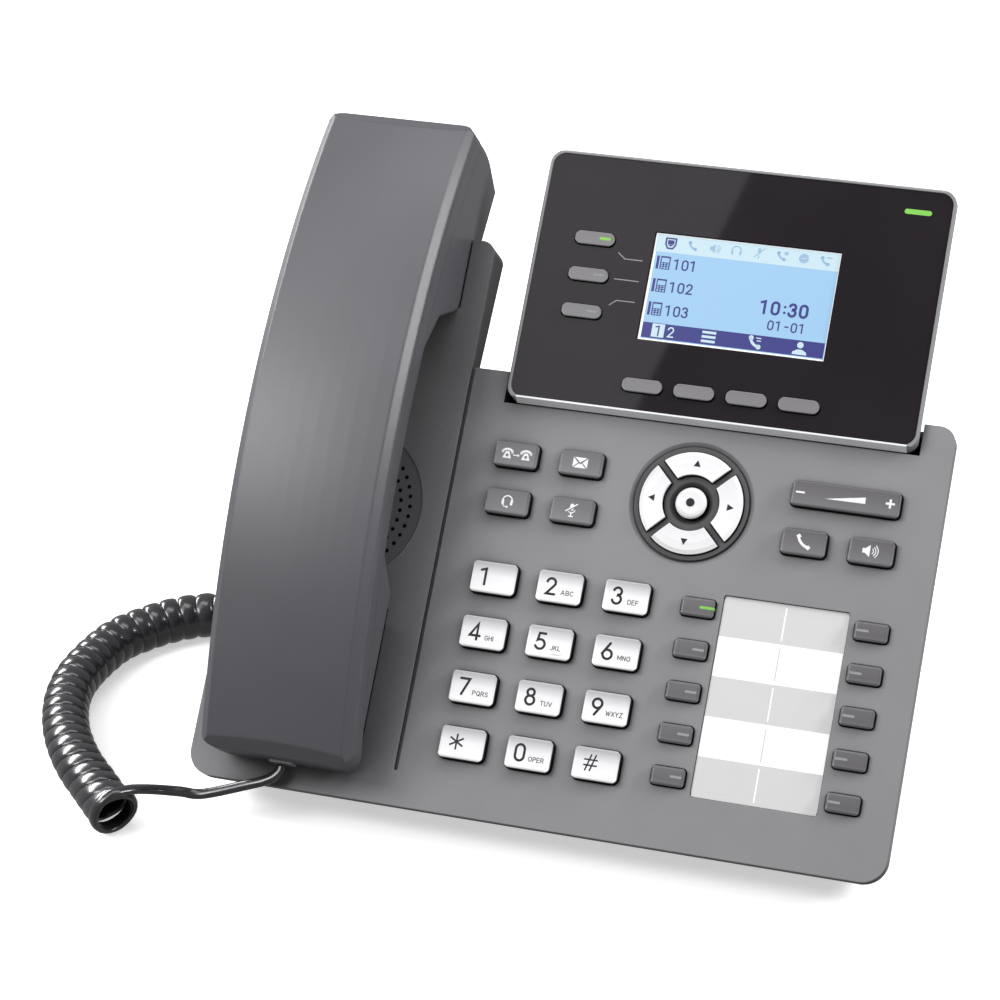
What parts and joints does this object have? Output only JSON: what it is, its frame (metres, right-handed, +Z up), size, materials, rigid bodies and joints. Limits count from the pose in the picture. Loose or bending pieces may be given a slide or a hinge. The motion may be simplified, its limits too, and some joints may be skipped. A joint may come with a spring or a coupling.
{
  "type": "desk ip phone",
  "caption": "Desk phone with a tilted key deck, raised display with side and soft keys, navigation ring, dial pad, corded handset in its cradle and a clip-on foot stand.",
  "frame": {"origin": "on the desk plane, under the middle of the phone's bounding box without its handset cord", "axes": "+X to the right seen from the front, +Y to the back, +Z up"},
  "size_m": [0.3002, 0.1786, 0.1972],
  "materials": {
    "cover_grey": "fine-textured mid grey ABS",
    "frame_grey": "fine-textured mid grey ABS",
    "back_grey": "fine-textured dark grey ABS",
    "grille": "fine-textured dark grey ABS",
    "speaker_black": "black paper cone and plated basket, as one piece",
    "board_green": "green solder mask, black jacks",
    "mat_silicone": "translucent grey silicone",
    "label_paper": "printed card",
    "panel_black": "polished black",
    "lcd_glass": "lit screen behind a clear window",
    "foot_rubber": "matt black",
    "cord_black": "glossy black PVC",
    "plug_clear": "clear polycarbonate",
    "handset_grey": "fine-textured dark grey ABS",
    "capsule_metal": "plain metal capsule",
    "hook_plastic": "dark grey plastic",
    "key_white": "white, printed",
    "key_dark": "dark grey, printed",
    "key_pill": "mid grey"
  },
  "bodies": {
    "phone": {"top_cover": "cover_grey", "rear_cover": "back_grey", "speaker_grille": "grille", "loudspeaker": "speaker_black", "circuit_board": "board_green", "key_mat": "mat_silicone", "display_frame": "frame_grey", "display_panel": "panel_black", "lcd_module": "lcd_glass", "foot_stand": "back_grey", "rubber_feet": "foot_rubber", "cord_coil": "cord_black", "cord_leads": "cord_black", "base_plug": "plug_clear"},
    "handset": {"handset_outer_shell": "handset_grey", "handset_inner_shell": "handset_grey", "handset_capsules": "capsule_metal", "handset_plug": "plug_clear"},
    "hook_switch": {"hook_switch": "hook_plastic"},
    "dial_key_1": {"dial_key_1": "key_white"},
    "dial_key_2": {"dial_key_2": "key_white"},
    "dial_key_3": {"dial_key_3": "key_white"},
    "dial_key_4": {"dial_key_4": "key_white"},
    "dial_key_5": {"dial_key_5": "key_white"},
    "dial_key_6": {"dial_key_6": "key_white"},
    "dial_key_7": {"dial_key_7": "key_white"},
    "dial_key_8": {"dial_key_8": "key_white"},
    "dial_key_9": {"dial_key_9": "key_white"},
    "dial_key_star": {"dial_key_star": "key_white"},
    "dial_key_0": {"dial_key_0": "key_white"},
    "dial_key_hash": {"dial_key_hash": "key_white"},
    "nav_key_ok": {"nav_key_ok": "key_white"},
    "nav_key_up": {"nav_key_up": "key_white"},
    "nav_key_down": {"nav_key_down": "key_white"},
    "nav_key_left": {"nav_key_left": "key_white"},
    "nav_key_right": {"nav_key_right": "key_white"},
    "transfer_key": {"transfer_key": "key_dark"},
    "message_key": {"message_key": "key_dark"},
    "headset_key": {"headset_key": "key_dark"},
    "mute_key": {"mute_key": "key_dark"},
    "call_key": {"call_key": "key_dark"},
    "speaker_key": {"speaker_key": "key_dark"},
    "volume_rocker": {"volume_rocker": "key_dark"},
    "line_key_1": {"line_key_1": "key_pill"},
    "line_key_2": {"line_key_2": "key_pill"},
    "line_key_3": {"line_key_3": "key_pill"},
    "soft_key_1": {"soft_key_1": "key_pill"},
    "soft_key_2": {"soft_key_2": "key_pill"},
    "soft_key_3": {"soft_key_3": "key_pill"},
    "soft_key_4": {"soft_key_4": "key_pill"},
    "quick_key_1": {"quick_key_1": "key_dark"},
    "quick_key_2": {"quick_key_2": "key_dark"},
    "quick_key_3": {"quick_key_3": "key_dark"},
    "quick_key_4": {"quick_key_4": "key_dark"},
    "quick_key_5": {"quick_key_5": "key_dark"},
    "quick_key_6": {"quick_key_6": "key_dark"},
    "quick_key_7": {"quick_key_7": "key_dark"},
    "quick_key_8": {"quick_key_8": "key_dark"},
    "quick_key_9": {"quick_key_9": "key_dark"},
    "quick_key_10": {"quick_key_10": "key_dark"}
  },
  "joints": [
    {"name": "handset_lift", "type": "slide", "parent": "phone", "child": "handset", "axis": [0, -0.766, 0.6428], "range_m": [0, 0.03]},
    {"name": "hook_switch_rise", "type": "slide", "parent": "phone", "child": "hook_switch", "axis": [0, -0.766, 0.6428], "range_m": [0, 0.003]},
    {"name": "volume_tip", "type": "hinge", "parent": "phone", "child": "volume_rocker", "pos_m": [0.0838, 0.00995, 0.1023], "axis": [0, 0.6428, 0.766], "range_deg": [-2, 2], "stiffness_Nm_per_rad": 0.3},
    {"name": "dial_key_1_press", "type": "slide", "parent": "phone", "child": "dial_key_1", "axis": [0, 0.766, -0.6428], "range_m": [0, 0.0012], "stiffness_N_per_m": 800},
    {"name": "dial_key_2_press", "type": "slide", "parent": "phone", "child": "dial_key_2", "axis": [0, 0.766, -0.6428], "range_m": [0, 0.0012], "stiffness_N_per_m": 800},
    {"name": "dial_key_3_press", "type": "slide", "parent": "phone", "child": "dial_key_3", "axis": [0, 0.766, -0.6428], "range_m": [0, 0.0012], "stiffness_N_per_m": 800},
    {"name": "dial_key_4_press", "type": "slide", "parent": "phone", "child": "dial_key_4", "axis": [0, 0.766, -0.6428], "range_m": [0, 0.0012], "stiffness_N_per_m": 800},
    {"name": "dial_key_5_press", "type": "slide", "parent": "phone", "child": "dial_key_5", "axis": [0, 0.766, -0.6428], "range_m": [0, 0.0012], "stiffness_N_per_m": 800},
    {"name": "dial_key_6_press", "type": "slide", "parent": "phone", "child": "dial_key_6", "axis": [0, 0.766, -0.6428], "range_m": [0, 0.0012], "stiffness_N_per_m": 800},
    {"name": "dial_key_7_press", "type": "slide", "parent": "phone", "child": "dial_key_7", "axis": [0, 0.766, -0.6428], "range_m": [0, 0.0012], "stiffness_N_per_m": 800},
    {"name": "dial_key_8_press", "type": "slide", "parent": "phone", "child": "dial_key_8", "axis": [0, 0.766, -0.6428], "range_m": [0, 0.0012], "stiffness_N_per_m": 800},
    {"name": "dial_key_9_press", "type": "slide", "parent": "phone", "child": "dial_key_9", "axis": [0, 0.766, -0.6428], "range_m": [0, 0.0012], "stiffness_N_per_m": 800},
    {"name": "dial_key_star_press", "type": "slide", "parent": "phone", "child": "dial_key_star", "axis": [0, 0.766, -0.6428], "range_m": [0, 0.0012], "stiffness_N_per_m": 800},
    {"name": "dial_key_0_press", "type": "slide", "parent": "phone", "child": "dial_key_0", "axis": [0, 0.766, -0.6428], "range_m": [0, 0.0012], "stiffness_N_per_m": 800},
    {"name": "dial_key_hash_press", "type": "slide", "parent": "phone", "child": "dial_key_hash", "axis": [0, 0.766, -0.6428], "range_m": [0, 0.0012], "stiffness_N_per_m": 800},
    {"name": "nav_key_ok_press", "type": "slide", "parent": "phone", "child": "nav_key_ok", "axis": [0, 0.766, -0.6428], "range_m": [0, 0.0012], "stiffness_N_per_m": 800},
    {"name": "nav_key_up_press", "type": "slide", "parent": "phone", "child": "nav_key_up", "axis": [0, 0.766, -0.6428], "range_m": [0, 0.0012], "stiffness_N_per_m": 800},
    {"name": "nav_key_down_press", "type": "slide", "parent": "phone", "child": "nav_key_down", "axis": [0, 0.766, -0.6428], "range_m": [0, 0.0012], "stiffness_N_per_m": 800},
    {"name": "nav_key_left_press", "type": "slide", "parent": "phone", "child": "nav_key_left", "axis": [0, 0.766, -0.6428], "range_m": [0, 0.0012], "stiffness_N_per_m": 800},
    {"name": "nav_key_right_press", "type": "slide", "parent": "phone", "child": "nav_key_right", "axis": [0, 0.766, -0.6428], "range_m": [0, 0.0012], "stiffness_N_per_m": 800},
    {"name": "transfer_key_press", "type": "slide", "parent": "phone", "child": "transfer_key", "axis": [0, 0.766, -0.6428], "range_m": [0, 0.0012], "stiffness_N_per_m": 800},
    {"name": "message_key_press", "type": "slide", "parent": "phone", "child": "message_key", "axis": [0, 0.766, -0.6428], "range_m": [0, 0.0012], "stiffness_N_per_m": 800},
    {"name": "headset_key_press", "type": "slide", "parent": "phone", "child": "headset_key", "axis": [0, 0.766, -0.6428], "range_m": [0, 0.0012], "stiffness_N_per_m": 800},
    {"name": "mute_key_press", "type": "slide", "parent": "phone", "child": "mute_key", "axis": [0, 0.766, -0.6428], "range_m": [0, 0.0012], "stiffness_N_per_m": 800},
    {"name": "call_key_press", "type": "slide", "parent": "phone", "child": "call_key", "axis": [0, 0.766, -0.6428], "range_m": [0, 0.0012], "stiffness_N_per_m": 800},
    {"name": "speaker_key_press", "type": "slide", "parent": "phone", "child": "speaker_key", "axis": [0, 0.766, -0.6428], "range_m": [0, 0.0012], "stiffness_N_per_m": 800},
    {"name": "line_key_1_press", "type": "slide", "parent": "phone", "child": "line_key_1", "axis": [0, 0.766, -0.6428], "range_m": [0, 0.0012], "stiffness_N_per_m": 800},
    {"name": "line_key_2_press", "type": "slide", "parent": "phone", "child": "line_key_2", "axis": [0, 0.766, -0.6428], "range_m": [0, 0.0012], "stiffness_N_per_m": 800},
    {"name": "line_key_3_press", "type": "slide", "parent": "phone", "child": "line_key_3", "axis": [0, 0.766, -0.6428], "range_m": [0, 0.0012], "stiffness_N_per_m": 800},
    {"name": "soft_key_1_press", "type": "slide", "parent": "phone", "child": "soft_key_1", "axis": [0, 0.766, -0.6428], "range_m": [0, 0.0012], "stiffness_N_per_m": 800},
    {"name": "soft_key_2_press", "type": "slide", "parent": "phone", "child": "soft_key_2", "axis": [0, 0.766, -0.6428], "range_m": [0, 0.0012], "stiffness_N_per_m": 800},
    {"name": "soft_key_3_press", "type": "slide", "parent": "phone", "child": "soft_key_3", "axis": [0, 0.766, -0.6428], "range_m": [0, 0.0012], "stiffness_N_per_m": 800},
    {"name": "soft_key_4_press", "type": "slide", "parent": "phone", "child": "soft_key_4", "axis": [0, 0.766, -0.6428], "range_m": [0, 0.0012], "stiffness_N_per_m": 800},
    {"name": "quick_key_1_press", "type": "slide", "parent": "phone", "child": "quick_key_1", "axis": [0, 0.766, -0.6428], "range_m": [0, 0.0012], "stiffness_N_per_m": 800},
    {"name": "quick_key_2_press", "type": "slide", "parent": "phone", "child": "quick_key_2", "axis": [0, 0.766, -0.6428], "range_m": [0, 0.0012], "stiffness_N_per_m": 800},
    {"name": "quick_key_3_press", "type": "slide", "parent": "phone", "child": "quick_key_3", "axis": [0, 0.766, -0.6428], "range_m": [0, 0.0012], "stiffness_N_per_m": 800},
    {"name": "quick_key_4_press", "type": "slide", "parent": "phone", "child": "quick_key_4", "axis": [0, 0.766, -0.6428], "range_m": [0, 0.0012], "stiffness_N_per_m": 800},
    {"name": "quick_key_5_press", "type": "slide", "parent": "phone", "child": "quick_key_5", "axis": [0, 0.766, -0.6428], "range_m": [0, 0.0012], "stiffness_N_per_m": 800},
    {"name": "quick_key_6_press", "type": "slide", "parent": "phone", "child": "quick_key_6", "axis": [0, 0.766, -0.6428], "range_m": [0, 0.0012], "stiffness_N_per_m": 800},
    {"name": "quick_key_7_press", "type": "slide", "parent": "phone", "child": "quick_key_7", "axis": [0, 0.766, -0.6428], "range_m": [0, 0.0012], "stiffness_N_per_m": 800},
    {"name": "quick_key_8_press", "type": "slide", "parent": "phone", "child": "quick_key_8", "axis": [0, 0.766, -0.6428], "range_m": [0, 0.0012], "stiffness_N_per_m": 800},
    {"name": "quick_key_9_press", "type": "slide", "parent": "phone", "child": "quick_key_9", "axis": [0, 0.766, -0.6428], "range_m": [0, 0.0012], "stiffness_N_per_m": 800},
    {"name": "quick_key_10_press", "type": "slide", "parent": "phone", "child": "quick_key_10", "axis": [0, 0.766, -0.6428], "range_m": [0, 0.0012], "stiffness_N_per_m": 800}
  ],
  "couplings": [
    {"joint": "hook_switch_rise", "follows": "handset_lift", "ratio": 0.1}
  ]
}
